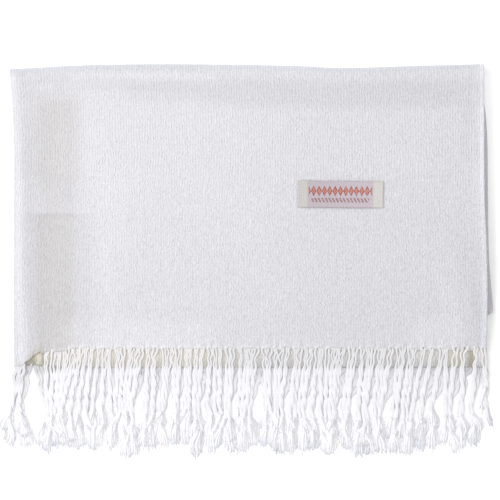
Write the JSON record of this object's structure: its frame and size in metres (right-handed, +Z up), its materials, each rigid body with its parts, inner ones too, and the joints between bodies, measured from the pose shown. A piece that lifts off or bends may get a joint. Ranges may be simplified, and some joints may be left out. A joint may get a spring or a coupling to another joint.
{
  "type": "folded silk shawl",
  "caption": "Woven ivory shawl folded into a flat packet, with a sewn-on label and twisted fringe laid out below its edges.",
  "frame": {"origin": "middle of the folded shawl's outline, fringe included, on the surface it lies on", "axes": "+X from the long fold to the selvedges, +Y from the fringe to the top fold, +Z up out of the surface"},
  "size_m": [0.3544, 0.2885, 0.0118],
  "materials": {
    "cloth": "fine crepe-like weave, matt with a slight sheen",
    "fringe": "twisted yarn with frayed tips",
    "label": "woven satin tape with a small two-colour ornament"
  },
  "bodies": {
    "root": {"front_ply": "cloth", "under_ply": "cloth", "folded_layers": "cloth", "front_fringe": "fringe", "under_fringe": "fringe", "label": "label"}
  },
  "joints": []
}
